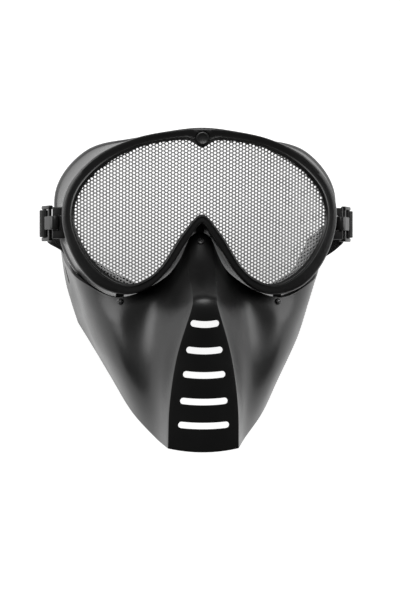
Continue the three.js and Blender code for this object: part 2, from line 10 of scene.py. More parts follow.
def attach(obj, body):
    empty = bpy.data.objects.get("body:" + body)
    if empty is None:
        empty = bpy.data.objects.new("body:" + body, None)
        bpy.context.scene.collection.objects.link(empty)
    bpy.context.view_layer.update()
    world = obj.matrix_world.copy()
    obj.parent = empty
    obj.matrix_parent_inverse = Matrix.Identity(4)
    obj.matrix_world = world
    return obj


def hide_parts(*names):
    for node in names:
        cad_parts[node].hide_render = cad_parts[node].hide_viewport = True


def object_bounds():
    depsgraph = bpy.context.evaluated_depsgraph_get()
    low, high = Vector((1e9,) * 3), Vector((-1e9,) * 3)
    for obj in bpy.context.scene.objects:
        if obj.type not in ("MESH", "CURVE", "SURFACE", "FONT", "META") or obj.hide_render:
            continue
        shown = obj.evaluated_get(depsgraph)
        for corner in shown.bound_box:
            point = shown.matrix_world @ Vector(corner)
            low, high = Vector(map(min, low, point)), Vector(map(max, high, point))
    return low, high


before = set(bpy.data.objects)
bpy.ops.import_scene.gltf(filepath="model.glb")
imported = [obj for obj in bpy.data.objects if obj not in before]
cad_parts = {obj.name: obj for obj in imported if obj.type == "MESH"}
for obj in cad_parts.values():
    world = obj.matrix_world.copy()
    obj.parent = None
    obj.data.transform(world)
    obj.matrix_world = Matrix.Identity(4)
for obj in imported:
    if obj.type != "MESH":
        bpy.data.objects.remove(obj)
cad_low, cad_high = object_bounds()

bl_info = {
    "name": "Mesh Goggle Mask",
    "version": (1, 0, 0),
    "blender": (4, 5, 0),
    "location": "View3D > Sidebar > Mask",
    "description": "Models the frame, mesh, skirt, guard, fasteners and strap of a face mask",
    "category": "Add Mesh",
}

MM = 0.001
MIRROR = Matrix.Scale(-1, 4, (1, 0, 0))                # right to left
UPRIGHT = Matrix.Rotation(math.radians(90), 4, "X")    # from along z to along y

# Goggle outline from the nose arch up the right side to the top. Columns: outer x and y, inner
# x and y, flare, rear edge. x and flare are shares of the rim's half width, y of its top, rear
# of its lift.
OUTLINE = (
    (0.000, 0.446, 0.000, 0.500, 0.045, 0.80),
    (0.079, 0.371, 0.135, 0.391, 0.045, 0.78),
    (0.242, 0.171, 0.293, 0.196, 0.045, 0.70),
    (0.378, 0.070, 0.402, 0.120, 0.036, 0.62),
    (0.533, 0.032, 0.521, 0.095, 0.030, 0.56),
    (0.743, 0.082, 0.688, 0.163, 0.030, 0.52),
    (0.909, 0.239, 0.828, 0.296, 0.030, 0.50),
    (0.999, 0.475, 0.910, 0.475, 0.038, 0.50),
    (0.953, 0.665, 0.871, 0.631, 0.085, 0.52),
    (0.762, 0.836, 0.708, 0.778, 0.098, 0.58),
    (0.488, 0.938, 0.458, 0.886, 0.035, 0.66),
    (0.233, 0.981, 0.219, 0.926, 0.005, 0.71),
    (0.000, 1.000, 0.000, 0.933, 0.000, 0.73),
)
RIM_MIDDLE = 0.513     # middle of the opening, as a share of the rim's top
BUTTON_UP = 0.937      # middle of the button, likewise
LUG_UP = 0.4606        # middle of the strap lugs, likewise
EAR_SLOT_UP = 0.16     # middle of the ear slot, likewise
EAR_SLOT_LIFT = 0.15   # and over the floor, as a share of the rim's lift

# Guard screws: node, x as a share of the rim's half width, y of its top
SCREWS = (
    ("nose_screw", 0.0, 0.344), ("cheek_screw_left", -0.577, -0.009),
    ("cheek_screw_right", 0.577, -0.009),
)

# Front of the frame's section: share from its inner to its outer edge, height as a share of
# the frame's stand over the mesh
RIM_FRONT = (
    (0.00, 0.10), (0.00, 0.52), (0.12, 0.80), (0.17, 1.02), (0.22, 1.08), (0.27, 1.02),
    (0.32, 0.86), (0.60, 0.96), (0.86, 1.00), (0.95, 0.86), (1.00, 0.55),
)
# How far the mesh's groove, the root of the lip behind it and the flat back reach, likewise
GROOVE, LIP_ROOT, FLAT_BACK = 0.42, 0.50, 0.62

# Skirt section from the frame to the rear edge: share of the depth, of the flare, of the lip
SKIRT_SECTION = (
    (0.00, 0.00, 0.0), (0.20, 0.11, 0.0), (0.45, 0.30, 0.0), (0.66, 0.56, 0.0),
    (0.88, 0.88, 0.0), (0.91, 0.92, 0.8), (0.94, 0.95, 1.0), (0.98, 0.99, 1.0),
    (1.00, 1.00, 0.6),
)

# Guard surface: curves from its lower to its upper edge, from the centre out to the ear. x is
# a share of the guard's half width, y of the chin's drop below the cheek line or of the rim's
# top above it, z of the rim's lift, and past 1 of the plate's reach.
GUARD_CURVES = (
    ((0, -1, 1.53), (0, -0.70, 1.66), (0, -0.36, 1.82), (0, -0.03, 1.98),
     (0, 0.025, 1.90), (0, 0.19, 1.06), (0, 0.40, 0.892)),
    ((0.245, -0.975, 1.47), (0.236, -0.69, 1.58), (0.188, -0.37, 1.72), (0.088, -0.035, 1.94),
     (0.083, 0.02, 1.86), (0.092, 0.185, 1.00), (0.074, 0.372, 0.885)),
    ((0.318, -0.925, 0.90), (0.335, -0.62, 0.92), (0.345, -0.27, 0.92), (0.29, -0.01, 0.895),
     (0.205, 0.165, 0.86)),
    ((0.474, -0.768, 0.683), (0.56, -0.45, 0.80), (0.59, -0.16, 0.82), (0.56, 0.016, 0.812)),
    ((0.626, -0.53, 0.458), (0.735, -0.28, 0.56), (0.79, -0.06, 0.625), (0.826, 0.108, 0.655)),
    ((0.752, -0.33, 0.20), (0.82, -0.15, 0.24), (0.882, 0.05, 0.29), (0.948, 0.222, 0.33)),
    ((0.86, -0.165, 0), (0.903, -0.04, 0), (0.952, 0.11, 0), (0.995, 0.34, 0)),
)
GUARD_ROWS = 72
GUARD_STEPS = (8, 10, 10, 10, 8, 8)

# Vent slots: height as a share of the chin's drop, half length of the guard's half width
SLOTS = ((-0.152, 0.098), (-0.325, 0.125), (-0.485, 0.146), (-0.660, 0.164), (-0.818, 0.176))

# Strap's way from the left slider to the right one. x is a share of the rim's half width, or of
# the guard's where it is under BETWEEN_EARS, y of the rim's top, z of its lift.
BETWEEN_EARS = 0.95
STRAP_WAY = (
    (-1.085, 0.430, 0.440), (-0.990, 0.385, 0.385), (-0.904, 0.320, 0.300),
    (-0.831, 0.235, 0.150), (-0.738, 0.160, 0.025), (-0.586, 0.085, 0.007),
    (-0.293, -0.005, 0.007), (0.000, -0.045, 0.007), (0.293, -0.045, 0.007),
    (0.567, -0.005, 0.007), (0.704, 0.045, 0.020), (0.792, 0.115, 0.135),
    (0.836, 0.215, 0.280), (0.901, 0.318, 0.398), (1.015, 0.375, 0.425),
    (1.085, 0.430, 0.440),
)

# Softboxes: name, place, side of the square, power in watts
LIGHTS = (
    ("brow softbox", (0.0, 0.95, 1.35), 0.8, 11),
    ("left softbox", (-1.2, 0.3, 0.45), 0.8, 9),
    ("right softbox", (1.2, 0.3, 0.45), 0.8, 7.5),
)
LIGHTS_AIM = Vector((0, 0, 0.1))
FLOOR_SIDE, FLOOR_GLOW, STUDIO_GLOW = 8, 0.9, 0.02

# Camera: its turn to the left, distance, aim beside the middle, lens and sensor in millimetres
CAMERA_YAW, CAMERA_AWAY, CAMERA_ASIDE = math.radians(3.9), 1.15, -0.0011
CAMERA_LENS, CAMERA_SENSOR = 112.2, 36


def length(name, millimetres, description):
    """A size in metres, given in millimetres."""
    return FloatProperty(name=name, description=description, default=millimetres * MM,
                         min=0.0, precision=4, unit="LENGTH")


def colour(name, shade, description):
    """A colour, by default a grey."""
    return FloatVectorProperty(name=name, description=description, default=(shade,) * 3, size=3,
                               min=0.0, max=1.0, subtype="COLOR")


class MaskSizes(bpy.types.PropertyGroup):
    """Sizes of the mask's pieces."""
    rim_half_width: length("Rim half width", 86, "Half the width of the goggle frame")
    rim_top: length("Rim top", 105.3, "Top of the frame above the cheek line")
    rim_lift: length("Rim lift", 120, "Front of the mesh above the floor, at its middle")
    rim_depth: length("Rim depth", 12, "Depth of the frame from front to back")
    rim_stand: length("Rim stand", 3, "Front of the frame above the mesh")
    lip_edge: length("Lip edge", 1.4, "Frame behind the mesh, at the opening")
    lip_root: length("Lip root", 2.2, "Frame behind the mesh, where the lip begins")
    tab_drop: length("Tab drop", 4.8, "How far the tab at the top hangs into the opening")
    tab_half_width: length("Tab half width", 5.6, "Half the width of that tab")
    mesh_radius: length("Mesh radius", 220, "Radius that the mesh is bent to")
    mesh_tilt: FloatProperty(name="Mesh tilt", description="Lean of the mesh towards the brow",
                             default=math.radians(7.4), subtype="ANGLE")
    sheet: length("Sheet", 1.0, "Thickness of the perforated sheet")
    hole_pitch: length("Hole pitch", 2.2, "Distance from hole to hole up a column")
    column_pitch: length("Column pitch", 1.987, "Distance from one column of holes to the next")
    hole_share: FloatProperty(name="Hole share", description="Width of a hole in its cell",
                              default=0.61, min=0.1, max=0.95, subtype="FACTOR")
    skirt_wall: length("Skirt wall", 2.0, "Thickness of the soft skirt")
    skirt_lip: length("Skirt lip", 1.2, "How far the rear lip stands out")
    guard_half_width: length("Guard half width", 88, "Half the width of the face guard")
    chin_drop: length("Chin drop", 92.5, "Chin below the cheek line")
    plate_reach: length("Plate reach", 30, "How far the mouth plate stands past the mesh")
    guard_wall: length("Guard wall", 2.2, "Thickness of the guard")
    slot_height: length("Slot height", 4.0, "Height of a vent slot")
    slot_sag: length("Slot sag", 0.7, "Sag of a vent slot in its middle")
    ear_slot_length: length("Ear slot length", 12, "Length of the slot in each ear")
    ear_slot_width: length("Ear slot width", 5, "Width of the slot in each ear")
    button_radius: length("Button radius", 4.3, "Radius of the button on the frame")
    button_height: length("Button height", 1.6, "Height of the button")
    screw_head: length("Screw head", 2.0, "Radius of a screw's head")
    screw_head_height: length("Screw head height", 1.0, "Height of a screw's head")
    screw_shank: length("Screw shank", 1.2, "Radius of a screw's shank")
    screw_length: length("Screw length", 7, "Length of a screw below the guard's face")
    screw_tip: length("Screw tip", 1.5, "Length of a screw's tapered tip")
    boss_radius: length("Boss radius", 3.4, "Radius of the skirt's screw bosses")
    boss_end: length("Boss end", 2, "Length of a boss past the tip of its screw")
    lug_height: length("Lug height", 20, "Height of a strap lug")
    lug_reach: length("Lug reach", 8, "How far a lug stands out from the skirt")
    lug_thickness: length("Lug thickness", 2.6, "Thickness of a lug")
    lug_window: length("Lug window", 10, "Height of the opening in a lug")
    lug_set_back: length("Lug set back", 2, "How far a lug is behind the frame's back")
    bar_radius: length("Bar radius", 1.3, "Radius of the bars that the buckle hangs on")
    clip_width: length("Clip width", 8.5, "Width of a clip")
    clip_wall: length("Clip wall", 1.4, "Wall of a clip round its bars")
    slider_height: length("Slider height", 22.5, "Height of a slider frame")
    slider_rail: length("Slider rail", 2.4, "Width of a slider's rails")
    slider_room: length("Slider room", 1.2, "Room beside the webbing between a slider's bars")
    buckle_lean: FloatProperty(name="Buckle lean", description="Outward lean of the buckles",
                               default=math.radians(27), subtype="ANGLE")
    strap_width: length("Strap width", 17, "Width of the webbing")
    strap_thickness: length("Strap thickness", 1.6, "Thickness of the webbing")
    strap_tail: length("Strap tail", 12, "Length of the sewn turn at each end")
    rib_pitch: length("Rib pitch", 1.1, "Distance from rib to rib along the webbing")
    thread_pitch: length("Thread pitch", 1.4, "Distance from thread to thread across it")
    clearance: length("Clearance", 0.3, "Gap between pieces that are put together")
    stations: IntProperty(name="Stations", description="Sections round the goggle",
                          default=264, min=48, max=480)


class MaskFinishes(bpy.types.PropertyGroup):
    """Colours of the mask's materials."""
    moulding: colour("Moulding", 0.010, "Black moulded plastic of the frame and the guard")
    worn: colour("Worn moulding", 0.050, "Moulded plastic where its edges are rubbed")
    soft: colour("Soft skirt", 0.016, "Soft black plastic of the skirt")
    steel: colour("Steel", 0.52, "Bare face of the perforated steel")
    webbing: colour("Webbing", 0.012, "Elastic webbing of the strap")
    thread: colour("Thread", 0.030, "Stitches at the ends of the strap")
    screw: colour("Screw", 0.045, "Blackened screws")
    floor: colour("Floor", 0.60, "Pale floor under the mask")


def sizes():
    """The sizes that the sidebar shows."""
    return bpy.context.scene.mask_sizes


def finishes():
    """The colours that the sidebar shows."""
    return bpy.context.scene.mask_finishes


# Curves and the mask's own measures

def along(points, share, closed=False):
    """Point at a share of the way along the smooth curve through some points."""
    count = len(points)
    run = share * (count if closed else count - 1)
    first = min(int(run), count - 1 if closed else count - 2)
    weight = run - first

    def mark(k):
        if closed:
            return points[k % count]
        if k < 0:
            return 2 * points[0] - points[1]
        return 2 * points[-1] - points[-2] if k >= count else points[k]

    p = [mark(first + k) for k in (-1, 0, 1, 2)]
    before, here, after = [max((b - a).length ** 0.5, 1e-5) for a, b in zip(p, p[1:])]
    leaving = (p[1] - p[0]) / before - (p[2] - p[0]) / (before + here) + (p[2] - p[1]) / here
    arriving = (p[2] - p[1]) / here - (p[3] - p[1]) / (here + after) + (p[3] - p[2]) / after
    leaving, arriving = leaving * here, arriving * here
    square = -3 * p[1] + 3 * p[2] - 2 * leaving - arriving
    cube = 2 * p[1] - 2 * p[2] + leaving + arriving
    return p[1] + weight * leaving + weight ** 2 * square + weight ** 3 * cube


def evenly(points, count):
    """Points at even distances along the smooth curve through some points."""
    fine = [along(points, k / 800) for k in range(801)]
    gone = [0.0]
    for a, b in zip(fine, fine[1:]):
        gone.append(gone[-1] + (b - a).length)
    out, k = [], 0
    for step in range(count + 1):
        goal = gone[-1] * step / count
        while k < len(gone) - 2 and gone[k + 1] < goal:
            k += 1
        share = (goal - gone[k]) / max(gone[k + 1] - gone[k], 1e-9)
        out.append(fine[k].lerp(fine[k + 1], share))
    return out


def mesh_z(x, y):
    """Front of the bent and tilted mesh at a place seen from the front."""
    s = sizes()
    bow = (s.mesh_radius ** 2 - x ** 2) ** 0.5 - s.mesh_radius
    rise = (y - s.rim_top * RIM_MIDDLE) * math.tan(s.mesh_tilt)
    return s.rim_lift + rise + bow / math.cos(s.mesh_tilt)


def mirrored(column):
    """The outline's right side and its mirror image, as one closed run of points."""
    left = [Vector((-p.x, p.y, p.z)) for p in column[-2:0:-1]]
    return column + left


def goggle_stations(count):
    """Sections round the goggle: outer and inner point, outward normal, flare and rear edge."""
    s = sizes()
    half, top = s.rim_half_width, s.rim_top
    outer = mirrored([Vector((r[0] * half, r[1] * top, 0)) for r in OUTLINE])
    inner = mirrored([Vector((r[2] * half, r[3] * top, 0)) for r in OUTLINE])
    skirt = mirrored([Vector((0, r[4] * half, r[5] * s.rim_lift)) for r in OUTLINE])
    stations = []
    for k in range(count):
        share = k / count
        out, into = along(outer, share, True), along(inner, share, True)
        if into.y > top * RIM_MIDDLE:
            into.y -= s.tab_drop * math.exp(-(into.x / s.tab_half_width) ** 2)
        run = along(outer, (share + 0.001) % 1, True) - along(outer, (share - 0.001) % 1, True)
        normal = Vector((run.y, -run.x, 0)).normalized()
        flare = along(skirt, share, True)
        stations.append((out, into, normal, flare.y, flare.z))
    return stations


def across_rim(station, across, up):
    """Point of a section from the frame's inner to its outer edge, over or under the mesh."""
    p = station[1].lerp(station[0], across)
    p.z = mesh_z(p.x, p.y) + up
    return p


def guard_mark(share):
    """A mark of the guard's curves as a place."""
    s = sizes()
    x, y, z = share
    return Vector((x * s.guard_half_width, y * (s.chin_drop if y < 0 else s.rim_top),
                   z * s.rim_lift if z <= 1 else s.rim_lift + (z - 1) * s.plate_reach))


def guard_grid():
    """Outer face of the guard, in rows from its lower to its upper edge."""
    curves = [[guard_mark(p) for p in curve] for curve in GUARD_CURVES]
    rows = []
    for j in range(GUARD_ROWS + 1):
        marks = [along(curve, j / GUARD_ROWS) for curve in curves]
        middle, crease, spans = marks[0], marks[1], len(marks) - 2
        handle = Vector((crease.x / 2, middle.y, middle.z))
        right = []
        for span, steps in enumerate(GUARD_STEPS):
            for k in range(steps):
                t = k / steps
                if span == 0:
                    right.append((1 - t) ** 2 * middle + 2 * t * (1 - t) * handle + t * t * crease)
                else:
                    right.append(along(marks[1:], (span - 1 + t) / spans))
        right.append(marks[-1])
        left = [Vector((-p.x, p.y, p.z)) for p in reversed(right[1:])]
        rows.append(left + right)
    return rows


def grid_normals(grid):
    """Outward normal at each point of a grid of points."""
    high, wide = len(grid) - 1, len(grid[0]) - 1
    normals = []
    for j, row in enumerate(grid):
        line = []
        for i in range(len(row)):
            over = grid[j][min(i + 1, wide)] - grid[j][max(i - 1, 0)]
            up = grid[min(j + 1, high)][i] - grid[max(j - 1, 0)][i]
            line.append(over.cross(up).normalized())
        normals.append(line)
    return normals


def guard_seat(grid, x, y):
    """Point and normal of the guard's face at a place seen from the front."""
    best = min(((p.x - x) ** 2 + (p.y - y) ** 2, j, i)
               for j, row in enumerate(grid) for i, p in enumerate(row))
    _, j, i = best
    normal = grid_normals(grid)[j][i]
    p = grid[j][i]
    z = p.z - (normal.x * (x - p.x) + normal.y * (y - p.y)) / normal.z
    return Vector((x, y, z)), normal


def screw_places():
    """Each screw's node and its place seen from the front."""
    s = sizes()
    return [(node, x * s.rim_half_width, y * s.rim_top) for node, x, y in SCREWS]


# Making and finishing meshes

def only(piece):
    """Selects one object and nothing else."""
    bpy.ops.object.select_all(action="DESELECT")
    piece.select_set(True)
    bpy.context.view_layer.objects.active = piece


def edit_all(piece):
    """Opens an object in edit mode with all of it selected."""
    only(piece)
    bpy.ops.object.mode_set(mode="EDIT")
    bpy.ops.mesh.select_all(action="SELECT")


def edit_done(outward=False):
    """Goes back to object mode, if asked with every face turned outwards."""
    if outward:
        bpy.ops.mesh.select_all(action="SELECT")
        bpy.ops.mesh.normals_make_consistent(inside=False)
    bpy.ops.object.mode_set(mode="OBJECT")


def started(name):
    """The object that was just added, named."""
    piece = bpy.context.object
    piece.name = name
    piece.data.name = name
    return piece


def primitive(add, name, **settings):
    """A named primitive, added with nothing else selected."""
    bpy.ops.object.select_all(action="DESELECT")
    add(**settings)
    return started(name)


def disc(name, corners, radius, height=0):
    """A filled circle primitive with some corners."""
    return primitive(bpy.ops.mesh.primitive_circle_add, name, vertices=corners, radius=radius,
                     fill_type="NGON", location=(0, 0, height))


def lofted(name, rows, closed_rows=False, closed_row=True, ends=False):
    """A grid primitive drawn through rows of points, its seams merged and its ends filled."""
    rows = [row + row[:1] if closed_row else row for row in rows]
    rows = rows + rows[:1] if closed_rows else rows
    piece = primitive(bpy.ops.mesh.primitive_grid_add, name,
                      x_subdivisions=len(rows[0]) - 1, y_subdivisions=len(rows) - 1)
    for vertex, point in zip(piece.data.vertices, chain(*rows)):
        vertex.co = point
    edit_all(piece)
    bpy.ops.mesh.remove_doubles(threshold=0.01 * MM)
    if ends:
        bpy.ops.mesh.select_all(action="DESELECT")
        bpy.ops.mesh.select_non_manifold(extend=False)
        bpy.ops.mesh.fill_holes(sides=0)
    edit_done(outward=True)
    return piece


def turned(name, profile, sides=48):
    """A round piece drawn up from a disc: each step of the profile is a radius and a height."""
    (radius, height), *steps = profile
    piece = disc(name, sides, radius, height)
    bpy.ops.object.transform_apply(location=True, rotation=False, scale=False)
    edit_all(piece)
    for new_radius, new_height in steps:
        bpy.ops.mesh.extrude_region_move(
            TRANSFORM_OT_translate={"value": (0, 0, new_height - height)})
        factor = new_radius / radius
        bpy.ops.transform.resize(value=(factor, factor, 1), center_override=(0, 0, new_height))
        radius, height = new_radius, new_height
    edit_done(outward=True)
    return piece


def block(name, size, centre):
    """A cube primitive stretched to a size about a place."""
    piece = primitive(bpy.ops.mesh.primitive_cube_add, name, size=1, location=centre)
    bpy.ops.transform.resize(value=size)
    bpy.ops.object.transform_apply(location=True, rotation=False, scale=True)
    return piece


def prism(name, outline, depth, centre=(0, 0, 0)):
    """A flat outline, drawn on a disc and extruded both ways along z."""
    piece = disc(name, len(outline), 1)
    for vertex, (x, y) in zip(piece.data.vertices, outline):
        vertex.co = (x + centre[0], y + centre[1], centre[2] - depth / 2)
    edit_all(piece)
    bpy.ops.mesh.extrude_region_move(TRANSFORM_OT_translate={"value": (0, 0, depth)})
    edit_done(outward=True)
    return piece


def stadium(half, radius, sag=0.0, steps=12):
    """Outline of a slot with round ends, its middle sagging by a depth."""
    points = []
    for side in (1, -1):
        for k in range(2 * steps + 1):
            t = k / (2 * steps)
            points.append((side * (2 * t - 1) * half, side * radius - 4 * sag * t * (1 - t)))
        for k in range(1, steps):
            angle = math.pi * (0.5 - k / steps)
            points.append((side * (half + radius * math.cos(angle)),
                           side * radius * math.sin(angle)))
    return points


def apply(piece, kind, **settings):
    """Adds a modifier and applies it."""
    only(piece)
    modifier = piece.modifiers.new(kind.title(), kind)
    for key, value in settings.items():
        setattr(modifier, key, value)
    bpy.ops.object.modifier_apply(modifier=modifier.name)


def carve(piece, tool, operation="DIFFERENCE"):
    """Cuts a piece with a tool, or joins them, and clears the tool away."""
    apply(piece, "BOOLEAN", operation=operation, solver="MANIFOLD", object=tool)
    bpy.data.objects.remove(tool)


def rounded(piece, width, segments=2, angle=30):
    """Rounds a piece's edges that turn by more than an angle."""
    apply(piece, "BEVEL", width=width, segments=segments, limit_method="ANGLE",
          angle_limit=math.radians(angle))


def turn_to(piece, point, normal):
    """Moves a piece made about the z axis to stand along a normal at a point."""
    turn = Vector((0, 0, 1)).rotation_difference(normal).to_matrix().to_4x4()
    piece.data.transform(Matrix.Translation(point) @ turn)


def copied(piece, name, matrix):
    """A copy with its own mesh, put elsewhere, and turned right side out if it was mirrored."""
    only(piece)
    bpy.ops.object.duplicate()
    twin = started(name)
    twin.data.transform(matrix)
    if matrix.determinant() < 0:
        twin.data.flip_normals()
    return twin


def fit(piece, node, material, crease=32):
    """Sets a piece down in the frame: its place, shading, body, node and material."""
    piece.data.transform(Matrix.Translation((0, cad_low.y + sizes().chin_drop, 0)))
    only(piece)
    bpy.ops.object.shade_smooth_by_angle(angle=math.radians(crease))
    piece.data.materials.clear()
    piece.data.materials.append(material)
    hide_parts(node)
    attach(piece, "root")


# Node materials

class Wire:
    """A value in a material, on which Python's signs add Math nodes."""

    def __init__(self, finish, socket):
        self.finish = finish
        self.socket = socket

    def combine(self, operation, first, second):
        """A Math node on two values."""
        return self.finish.node("ShaderNodeMath", {"operation": operation},
                                {0: first, 1: second})

    def __add__(self, other):
        return self.combine("ADD", self, other)

    def __radd__(self, other):
        return self.combine("ADD", other, self)

    def __sub__(self, other):
        return self.combine("SUBTRACT", self, other)

    def __rsub__(self, other):
        return self.combine("SUBTRACT", other, self)

    def __mul__(self, other):
        return self.combine("MULTIPLY", self, other)

    def __rmul__(self, other):
        return self.combine("MULTIPLY", other, self)

    def clamped(self):
        """The value kept from 0 to 1."""
        return self.finish.node("ShaderNodeClamp", {}, {0: self})

    def step(self, low, high):
        """0 below one value, 1 above the other, and smooth between them."""
        return self.finish.node(
            "ShaderNodeMapRange", {"interpolation_type": "SMOOTHSTEP"},
            {"Value": self, "From Min": low, "From Max": high})


class Finish:
    """A material under construction, with its surface shader ready."""

    def __init__(self, name, **surface):
        self.material = bpy.data.materials.new(name)
        self.material.use_nodes = True
        self.tree = self.material.node_tree
        self.shader = next(n for n in self.tree.nodes if n.type == "BSDF_PRINCIPLED")
        for key, value in surface.items():
            self.set(key.replace("_", " ").title(), value)

    def plug(self, socket, value):
        """Links a wire to a socket, or sets a plain value on it."""
        if isinstance(value, Wire):
            self.tree.links.new(value.socket, socket)
        elif hasattr(value, "__len__") and len(value) == 3 and socket.type == "RGBA":
            socket.default_value = (*value, 1)
        else:
            socket.default_value = value

    def set(self, name, value):
        """Feeds one of the surface shader's sockets."""
        self.plug(self.shader.inputs[name], value)

    def node(self, kind, settings, inputs, out=0):
        """Adds a node, sets it up, feeds its sockets and returns one of its outputs."""
        node = self.tree.nodes.new(kind)
        for key, value in settings.items():
            setattr(node, key, value)
        for key, value in inputs.items():
            self.plug(node.inputs[key], value)
        return Wire(self, node.outputs[out])

    def place(self, kind="Object"):
        """Where a point of the surface is, on its object or its own map."""
        return self.node("ShaderNodeTexCoord", {}, {}, kind)

    def noise(self, scale, detail=2.0, where=None):
        """A cloudy value from 0 to 1 about its middle."""
        return self.node("ShaderNodeTexNoise", {}, {
            "Vector": where or self.place(), "Scale": scale, "Detail": detail})

    def mix(self, share, first, second):
        """A blend of two colours."""
        return self.node("ShaderNodeMix", {"data_type": "RGBA"},
                         {0: share, 6: first, 7: second}, 2)

    def relief(self, height, strength, distance):
        """Puts small relief on the surface."""
        self.set("Normal", self.node("ShaderNodeBump", {}, {
            "Height": height, "Strength": strength, "Distance": distance}))

    def edges(self):
        """The convexity of the surface, near a half where it is flat."""
        return self.node("ShaderNodeNewGeometry", {}, {}, "Pointiness")


def moulded_plastic():
    """Black moulded plastic with a fine spark texture and rubbed edges."""
    look = finishes()
    finish = Finish("moulded plastic", metallic=0.0)
    cloud = finish.noise(70, 3)
    grain = finish.noise(2600, 2)
    rub = finish.edges().step(0.53, 0.62) * finish.noise(240, 2).step(0.42, 0.62)
    finish.set("Base Color", finish.mix(rub * 0.7, look.moulding, look.worn))
    finish.set("Roughness", 0.26 + cloud * 0.14 + rub * 0.08)
    finish.relief(grain, 0.25, 0.00012)
    return finish.material


def soft_plastic():
    """Soft black plastic with a dull shine and faint flow marks."""
    look = finishes()
    finish = Finish("soft plastic", metallic=0.0)
    cloud = finish.noise(45, 4)
    finish.set("Base Color", finish.mix(cloud.step(0.4, 0.75) * 0.5, look.soft, look.worn))
    finish.set("Roughness", 0.20 + cloud * 0.16)
    finish.relief(finish.noise(1900, 3), 0.3, 0.00015)
    return finish.material


def perforated_steel():
    """Pressed steel sheet, brushed one way, with dull spots."""
    look = finishes()
    finish = Finish("perforated steel")
    stretched = finish.node("ShaderNodeMapping", {}, {
        "Vector": finish.place(), "Scale": (0.12, 1, 1)})
    brushed = finish.noise(1800, 2, stretched)
    spots = finish.noise(160, 3).step(0.48, 0.66)
    dark = tuple(0.55 * part for part in look.steel)
    finish.set("Base Color", finish.mix(spots * 0.6, look.steel, dark))
    finish.set("Metallic", 0.75 - spots * 0.25)
    finish.set("Roughness", 0.48 + brushed * 0.14 + spots * 0.10)
    finish.relief(brushed, 0.2, 0.00005)
    return finish.material


def dark_steel():
    """Blackened screw steel, rubbed bright on its edges."""
    look = finishes()
    finish = Finish("dark steel", metallic=0.7)
    rub = finish.edges().step(0.52, 0.6) * finish.noise(900, 2).step(0.4, 0.6)
    finish.set("Base Color", finish.mix(rub, look.screw, look.steel))
    finish.set("Roughness", 0.32 + finish.noise(1500, 2) * 0.2)
    return finish.material


def ribbed_webbing():
    """Elastic webbing: ribs across it, threads along it and a bound edge."""
    look, s = finishes(), sizes()
    finish = Finish("ribbed webbing", metallic=0.0, sheen_weight=0.25)
    across = finish.node("ShaderNodeSeparateXYZ", {}, {0: finish.place("UV")}, "X")
    run = Wire(finish, across.socket.node.outputs["Y"])
    sine = {"operation": "SINE"}
    rib = finish.node("ShaderNodeMath", sine, {0: run * (2 * math.pi / s.rib_pitch)})
    thread = finish.node("ShaderNodeMath", sine, {0: across * (2 * math.pi / s.thread_pitch)})
    fuzz = finish.noise(2400, 3)
    weave = rib * 0.5 + 0.5 + thread * 0.18 + fuzz * 0.3
    edge = finish.node("ShaderNodeMath", {"operation": "ABSOLUTE"}, {0: across}).step(
        0.44 * s.strap_width, 0.49 * s.strap_width)
    finish.set("Base Color", finish.mix(
        (weave * 0.4 + edge * 0.2).clamped(), look.webbing, look.thread))
    finish.set("Roughness", 0.82 + fuzz * 0.15)
    finish.relief(weave * (1 - edge * 0.6), 0.7, 0.0003)
    return finish.material


# Pieces

class MASK_OT_rim(bpy.types.Operator):
    """Moulded frame with its bead, its groove for the mesh and its button seat"""
    bl_idname = "mask.rim"
    bl_label = "Goggle rim"

    def execute(self, context):
        s = sizes()
        floor, back = -s.sheet - s.clearance, s.rim_stand - s.rim_depth
        section = [(across, up * s.rim_stand) for across, up in RIM_FRONT]
        section += [(1, back), (FLAT_BACK, back), (LIP_ROOT, floor - s.lip_root),
                    (0, floor - s.lip_edge), (0, floor), (GROOVE, floor), (GROOVE, s.clearance)]
        rows = [[across_rim(station, *point) for point in section]
                for station in goggle_stations(s.stations)]
        rim = lofted("rim", rows, closed_rows=True)
        rounded(rim, 0.25 * MM)
        seat, y = button_seat()
        radius = s.button_radius + s.clearance
        recess = turned("recess", [(radius, seat - s.clearance), (radius, seat + s.rim_stand)])
        recess.data.transform(Matrix.Translation((0, y, 0)))
        carve(rim, recess)
        fit(rim, "goggle_rim", moulded_plastic())
        return {"FINISHED"}


def button_seat():
    """Height of the button's seat, and how far up the frame it is."""
    s = sizes()
    y = BUTTON_UP * s.rim_top
    return mesh_z(0, y) + s.rim_stand - s.button_height, y


